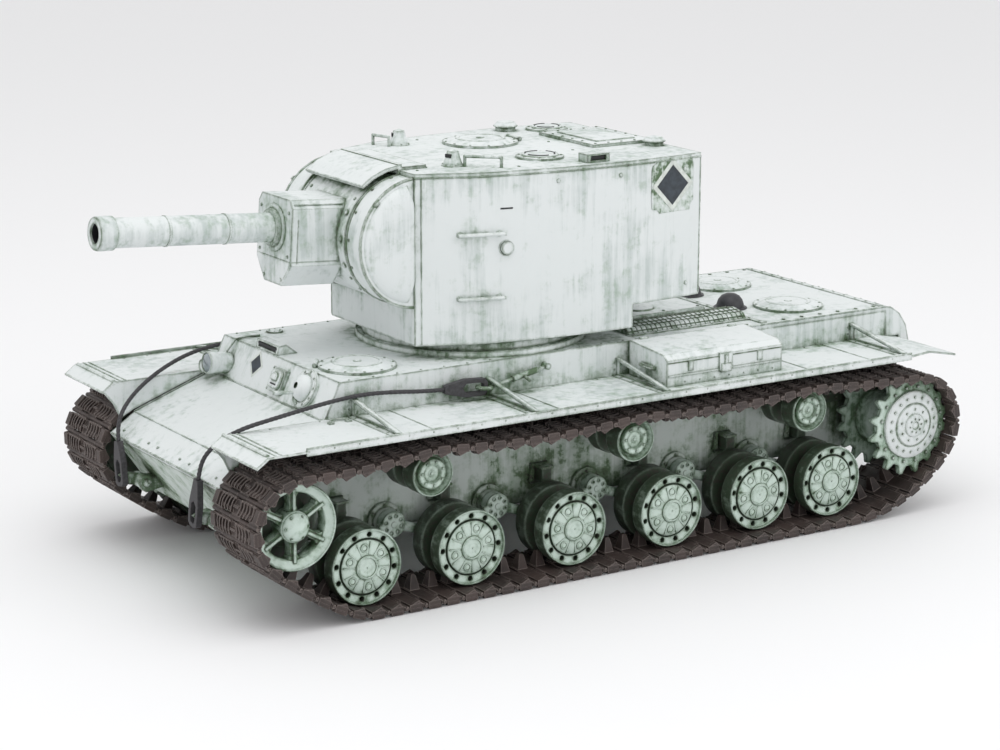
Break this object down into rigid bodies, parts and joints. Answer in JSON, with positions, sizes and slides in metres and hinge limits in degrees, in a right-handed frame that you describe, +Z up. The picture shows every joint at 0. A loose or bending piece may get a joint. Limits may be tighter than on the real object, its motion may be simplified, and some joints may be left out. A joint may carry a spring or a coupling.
{
  "type": "radio controlled model tank",
  "caption": "Scale model heavy tank with a tall slab-sided turret, short thick gun, tracked running gear on swing arms, tow cables and worn white winter paint.",
  "frame": {"origin": "on the ground under the middle of the object, midway between the muzzle and the rear of the tracks", "axes": "+X forwards along the hull, +Y to the tank's left, +Z up"},
  "size_m": [0.4424, 0.2088, 0.2012],
  "materials": {
    "whitewashed_armour": "worn whitewash over green, matte",
    "running_gear_green": "green with a thin white wash, matte",
    "track_steel": "dark brown, matte, brighter on worn edges",
    "wire_rope": "dark grey, matte",
    "motor_metal": "plain",
    "black_plastic": "plain",
    "screen_green": "whitewashed mesh over dark green"
  },
  "bodies": {
    "hull": {"lower_hull": "whitewashed_armour", "upper_hull": "whitewashed_armour", "engine_deck": "whitewashed_armour", "deck_hatches": "whitewashed_armour", "exhausts": "screen_green", "fenders": "whitewashed_armour", "axle_mounts": "running_gear_green", "tool_boxes": "whitewashed_armour", "front_fittings": "whitewashed_armour", "tow_shackles": "whitewashed_armour", "cable_eyes": "wire_rope", "tow_cable_left": "wire_rope", "tow_cable_right": "wire_rope", "drive_units": "motor_metal", "battery_and_radio": "black_plastic", "track_left": "track_steel", "track_right": "track_steel"},
    "turret": {"turret_shell": "whitewashed_armour", "turret_roof": "whitewashed_armour", "turret_fittings": "whitewashed_armour", "periscopes": "whitewashed_armour"},
    "mantlet": {"gun_mantlet": "whitewashed_armour"},
    "barrel": {"gun_barrel": "whitewashed_armour"},
    "roof_hatch": {"roof_hatch": "whitewashed_armour"},
    "rear_door": {"rear_door": "whitewashed_armour"},
    "hull_hatch": {"hull_hatch": "whitewashed_armour"},
    "sprocket_left": {"sprocket_left": "running_gear_green"},
    "idler_left": {"idler_left": "running_gear_green"},
    "return_roller_left_1": {"return_roller_left_1": "running_gear_green"},
    "return_roller_left_2": {"return_roller_left_2": "running_gear_green"},
    "return_roller_left_3": {"return_roller_left_3": "running_gear_green"},
    "swing_arm_left_1": {"swing_arm_left_1": "running_gear_green"},
    "road_wheel_left_1": {"road_wheel_left_1": "running_gear_green"},
    "swing_arm_left_2": {"swing_arm_left_2": "running_gear_green"},
    "road_wheel_left_2": {"road_wheel_left_2": "running_gear_green"},
    "swing_arm_left_3": {"swing_arm_left_3": "running_gear_green"},
    "road_wheel_left_3": {"road_wheel_left_3": "running_gear_green"},
    "swing_arm_left_4": {"swing_arm_left_4": "running_gear_green"},
    "road_wheel_left_4": {"road_wheel_left_4": "running_gear_green"},
    "swing_arm_left_5": {"swing_arm_left_5": "running_gear_green"},
    "road_wheel_left_5": {"road_wheel_left_5": "running_gear_green"},
    "swing_arm_left_6": {"swing_arm_left_6": "running_gear_green"},
    "road_wheel_left_6": {"road_wheel_left_6": "running_gear_green"},
    "sprocket_right": {"sprocket_right": "running_gear_green"},
    "idler_right": {"idler_right": "running_gear_green"},
    "return_roller_right_1": {"return_roller_right_1": "running_gear_green"},
    "return_roller_right_2": {"return_roller_right_2": "running_gear_green"},
    "return_roller_right_3": {"return_roller_right_3": "running_gear_green"},
    "swing_arm_right_1": {"swing_arm_right_1": "running_gear_green"},
    "road_wheel_right_1": {"road_wheel_right_1": "running_gear_green"},
    "swing_arm_right_2": {"swing_arm_right_2": "running_gear_green"},
    "road_wheel_right_2": {"road_wheel_right_2": "running_gear_green"},
    "swing_arm_right_3": {"swing_arm_right_3": "running_gear_green"},
    "road_wheel_right_3": {"road_wheel_right_3": "running_gear_green"},
    "swing_arm_right_4": {"swing_arm_right_4": "running_gear_green"},
    "road_wheel_right_4": {"road_wheel_right_4": "running_gear_green"},
    "swing_arm_right_5": {"swing_arm_right_5": "running_gear_green"},
    "road_wheel_right_5": {"road_wheel_right_5": "running_gear_green"},
    "swing_arm_right_6": {"swing_arm_right_6": "running_gear_green"},
    "road_wheel_right_6": {"road_wheel_right_6": "running_gear_green"}
  },
  "joints": [
    {"name": "sprocket_left_spin", "type": "hinge", "parent": "hull", "child": "sprocket_left", "pos_m": [-0.1913, 0.0825, 0.0464], "axis": [0, 1, 0], "continuous": true, "deforming": ["track_left"]},
    {"name": "idler_left_spin", "type": "hinge", "parent": "hull", "child": "idler_left", "pos_m": [0.17026, 0.0825, 0.0485], "axis": [0, 1, 0], "continuous": true, "deforming": ["track_left"]},
    {"name": "return_roller_left_1_spin", "type": "hinge", "parent": "hull", "child": "return_roller_left_1", "pos_m": [0.0979, 0.0825, 0.0626], "axis": [0, 1, 0], "continuous": true},
    {"name": "return_roller_left_2_spin", "type": "hinge", "parent": "hull", "child": "return_roller_left_2", "pos_m": [-0.0168, 0.0825, 0.0626], "axis": [0, 1, 0], "continuous": true},
    {"name": "return_roller_left_3_spin", "type": "hinge", "parent": "hull", "child": "return_roller_left_3", "pos_m": [-0.1242, 0.0825, 0.0626], "axis": [0, 1, 0], "continuous": true},
    {"name": "swing_arm_left_1_bump", "type": "hinge", "parent": "hull", "child": "swing_arm_left_1", "pos_m": [0.1604, 0.061, 0.032], "axis": [0, 1, 0], "range_deg": [0, 12], "stiffness_Nm_per_rad": 0.2, "springref_deg": -11.46},
    {"name": "road_wheel_left_1_spin", "type": "hinge", "parent": "swing_arm_left_1", "child": "road_wheel_left_1", "pos_m": [0.1324, 0.0825, 0.0226], "axis": [0, 1, 0], "continuous": true},
    {"name": "swing_arm_left_2_bump", "type": "hinge", "parent": "hull", "child": "swing_arm_left_2", "pos_m": [0.1033, 0.061, 0.032], "axis": [0, 1, 0], "range_deg": [0, 12], "stiffness_Nm_per_rad": 0.2, "springref_deg": -11.46},
    {"name": "road_wheel_left_2_spin", "type": "hinge", "parent": "swing_arm_left_2", "child": "road_wheel_left_2", "pos_m": [0.0753, 0.0825, 0.0226], "axis": [0, 1, 0], "continuous": true},
    {"name": "swing_arm_left_3_bump", "type": "hinge", "parent": "hull", "child": "swing_arm_left_3", "pos_m": [0.0452, 0.061, 0.032], "axis": [0, 1, 0], "range_deg": [0, 12], "stiffness_Nm_per_rad": 0.2, "springref_deg": -11.46},
    {"name": "road_wheel_left_3_spin", "type": "hinge", "parent": "swing_arm_left_3", "child": "road_wheel_left_3", "pos_m": [0.0172, 0.0825, 0.0226], "axis": [0, 1, 0], "continuous": true},
    {"name": "swing_arm_left_4_bump", "type": "hinge", "parent": "hull", "child": "swing_arm_left_4", "pos_m": [-0.0127, 0.061, 0.032], "axis": [0, 1, 0], "range_deg": [0, 12], "stiffness_Nm_per_rad": 0.2, "springref_deg": -11.46},
    {"name": "road_wheel_left_4_spin", "type": "hinge", "parent": "swing_arm_left_4", "child": "road_wheel_left_4", "pos_m": [-0.0407, 0.0825, 0.0226], "axis": [0, 1, 0], "continuous": true},
    {"name": "swing_arm_left_5_bump", "type": "hinge", "parent": "hull", "child": "swing_arm_left_5", "pos_m": [-0.0671, 0.061, 0.032], "axis": [0, 1, 0], "range_deg": [0, 12], "stiffness_Nm_per_rad": 0.2, "springref_deg": -11.46},
    {"name": "road_wheel_left_5_spin", "type": "hinge", "parent": "swing_arm_left_5", "child": "road_wheel_left_5", "pos_m": [-0.0951, 0.0825, 0.0226], "axis": [0, 1, 0], "continuous": true},
    {"name": "swing_arm_left_6_bump", "type": "hinge", "parent": "hull", "child": "swing_arm_left_6", "pos_m": [-0.1134, 0.061, 0.032], "axis": [0, 1, 0], "range_deg": [0, 12], "stiffness_Nm_per_rad": 0.2, "springref_deg": -11.46},
    {"name": "road_wheel_left_6_spin", "type": "hinge", "parent": "swing_arm_left_6", "child": "road_wheel_left_6", "pos_m": [-0.1414, 0.0825, 0.0226], "axis": [0, 1, 0], "continuous": true},
    {"name": "sprocket_right_spin", "type": "hinge", "parent": "hull", "child": "sprocket_right", "pos_m": [-0.1913, -0.0825, 0.0464], "axis": [0, 1, 0], "continuous": true, "deforming": ["track_right"]},
    {"name": "idler_right_spin", "type": "hinge", "parent": "hull", "child": "idler_right", "pos_m": [0.17026, -0.0825, 0.0485], "axis": [0, 1, 0], "continuous": true, "deforming": ["track_right"]},
    {"name": "return_roller_right_1_spin", "type": "hinge", "parent": "hull", "child": "return_roller_right_1", "pos_m": [0.0979, -0.0825, 0.0626], "axis": [0, 1, 0], "continuous": true},
    {"name": "return_roller_right_2_spin", "type": "hinge", "parent": "hull", "child": "return_roller_right_2", "pos_m": [-0.0168, -0.0825, 0.0626], "axis": [0, 1, 0], "continuous": true},
    {"name": "return_roller_right_3_spin", "type": "hinge", "parent": "hull", "child": "return_roller_right_3", "pos_m": [-0.1242, -0.0825, 0.0626], "axis": [0, 1, 0], "continuous": true},
    {"name": "swing_arm_right_1_bump", "type": "hinge", "parent": "hull", "child": "swing_arm_right_1", "pos_m": [0.1604, -0.061, 0.032], "axis": [0, 1, 0], "range_deg": [0, 12], "stiffness_Nm_per_rad": 0.2, "springref_deg": -11.46},
    {"name": "road_wheel_right_1_spin", "type": "hinge", "parent": "swing_arm_right_1", "child": "road_wheel_right_1", "pos_m": [0.1324, -0.0825, 0.0226], "axis": [0, 1, 0], "continuous": true},
    {"name": "swing_arm_right_2_bump", "type": "hinge", "parent": "hull", "child": "swing_arm_right_2", "pos_m": [0.1033, -0.061, 0.032], "axis": [0, 1, 0], "range_deg": [0, 12], "stiffness_Nm_per_rad": 0.2, "springref_deg": -11.46},
    {"name": "road_wheel_right_2_spin", "type": "hinge", "parent": "swing_arm_right_2", "child": "road_wheel_right_2", "pos_m": [0.0753, -0.0825, 0.0226], "axis": [0, 1, 0], "continuous": true},
    {"name": "swing_arm_right_3_bump", "type": "hinge", "parent": "hull", "child": "swing_arm_right_3", "pos_m": [0.0452, -0.061, 0.032], "axis": [0, 1, 0], "range_deg": [0, 12], "stiffness_Nm_per_rad": 0.2, "springref_deg": -11.46},
    {"name": "road_wheel_right_3_spin", "type": "hinge", "parent": "swing_arm_right_3", "child": "road_wheel_right_3", "pos_m": [0.0172, -0.0825, 0.0226], "axis": [0, 1, 0], "continuous": true},
    {"name": "swing_arm_right_4_bump", "type": "hinge", "parent": "hull", "child": "swing_arm_right_4", "pos_m": [-0.0127, -0.061, 0.032], "axis": [0, 1, 0], "range_deg": [0, 12], "stiffness_Nm_per_rad": 0.2, "springref_deg": -11.46},
    {"name": "road_wheel_right_4_spin", "type": "hinge", "parent": "swing_arm_right_4", "child": "road_wheel_right_4", "pos_m": [-0.0407, -0.0825, 0.0226], "axis": [0, 1, 0], "continuous": true},
    {"name": "swing_arm_right_5_bump", "type": "hinge", "parent": "hull", "child": "swing_arm_right_5", "pos_m": [-0.0671, -0.061, 0.032], "axis": [0, 1, 0], "range_deg": [0, 12], "stiffness_Nm_per_rad": 0.2, "springref_deg": -11.46},
    {"name": "road_wheel_right_5_spin", "type": "hinge", "parent": "swing_arm_right_5", "child": "road_wheel_right_5", "pos_m": [-0.0951, -0.0825, 0.0226], "axis": [0, 1, 0], "continuous": true},
    {"name": "swing_arm_right_6_bump", "type": "hinge", "parent": "hull", "child": "swing_arm_right_6", "pos_m": [-0.1134, -0.061, 0.032], "axis": [0, 1, 0], "range_deg": [0, 12], "stiffness_Nm_per_rad": 0.2, "springref_deg": -11.46},
    {"name": "road_wheel_right_6_spin", "type": "hinge", "parent": "swing_arm_right_6", "child": "road_wheel_right_6", "pos_m": [-0.1414, -0.0825, 0.0226], "axis": [0, 1, 0], "continuous": true},
    {"name": "turret_turn", "type": "hinge", "parent": "hull", "child": "turret", "pos_m": [0.0175, 0, 0.109], "axis": [0, 0, 1], "range_deg": [-130, 130]},
    {"name": "gun_elevate", "type": "hinge", "parent": "turret", "child": "mantlet", "pos_m": [0.0725, 0, 0.1596], "axis": [0, -1, 0], "range_deg": [-6.7, 8.3]},
    {"name": "barrel_recoil", "type": "slide", "parent": "mantlet", "child": "barrel", "axis": [-0.9979, 0, -0.0645], "range_m": [0, 0.006], "stiffness_N_per_m": 60, "springref_m": -0.012},
    {"name": "roof_hatch_hinge", "type": "hinge", "parent": "turret", "child": "roof_hatch", "pos_m": [-0.0231, -0.0237, 0.1942], "axis": [0, -1, 0], "range_deg": [0, 100]},
    {"name": "rear_door_hinge", "type": "hinge", "parent": "turret", "child": "rear_door", "pos_m": [-0.0826, 0.018, 0.15], "axis": [0, 0, -1], "range_deg": [0, 110]},
    {"name": "hull_hatch_hinge", "type": "hinge", "parent": "hull", "child": "hull_hatch", "pos_m": [0.11938, 0.02353, 0.1032], "axis": [0.5736, 0.8192, 0], "range_deg": [0, 100]}
  ],
  "couplings": [
    {"joint": "idler_left_spin", "follows": "sprocket_left_spin", "ratio": 1.2425},
    {"joint": "return_roller_left_1_spin", "follows": "sprocket_left_spin", "ratio": 2.3814},
    {"joint": "return_roller_left_2_spin", "follows": "sprocket_left_spin", "ratio": 2.3814},
    {"joint": "return_roller_left_3_spin", "follows": "sprocket_left_spin", "ratio": 2.3814},
    {"joint": "road_wheel_left_1_spin", "follows": "sprocket_left_spin", "ratio": 1.4054},
    {"joint": "road_wheel_left_2_spin", "follows": "sprocket_left_spin", "ratio": 1.4054},
    {"joint": "road_wheel_left_3_spin", "follows": "sprocket_left_spin", "ratio": 1.4054},
    {"joint": "road_wheel_left_4_spin", "follows": "sprocket_left_spin", "ratio": 1.4054},
    {"joint": "road_wheel_left_5_spin", "follows": "sprocket_left_spin", "ratio": 1.4054},
    {"joint": "road_wheel_left_6_spin", "follows": "sprocket_left_spin", "ratio": 1.4054},
    {"joint": "idler_right_spin", "follows": "sprocket_right_spin", "ratio": 1.2425},
    {"joint": "return_roller_right_1_spin", "follows": "sprocket_right_spin", "ratio": 2.3814},
    {"joint": "return_roller_right_2_spin", "follows": "sprocket_right_spin", "ratio": 2.3814},
    {"joint": "return_roller_right_3_spin", "follows": "sprocket_right_spin", "ratio": 2.3814},
    {"joint": "road_wheel_right_1_spin", "follows": "sprocket_right_spin", "ratio": 1.4054},
    {"joint": "road_wheel_right_2_spin", "follows": "sprocket_right_spin", "ratio": 1.4054},
    {"joint": "road_wheel_right_3_spin", "follows": "sprocket_right_spin", "ratio": 1.4054},
    {"joint": "road_wheel_right_4_spin", "follows": "sprocket_right_spin", "ratio": 1.4054},
    {"joint": "road_wheel_right_5_spin", "follows": "sprocket_right_spin", "ratio": 1.4054},
    {"joint": "road_wheel_right_6_spin", "follows": "sprocket_right_spin", "ratio": 1.4054}
  ]
}
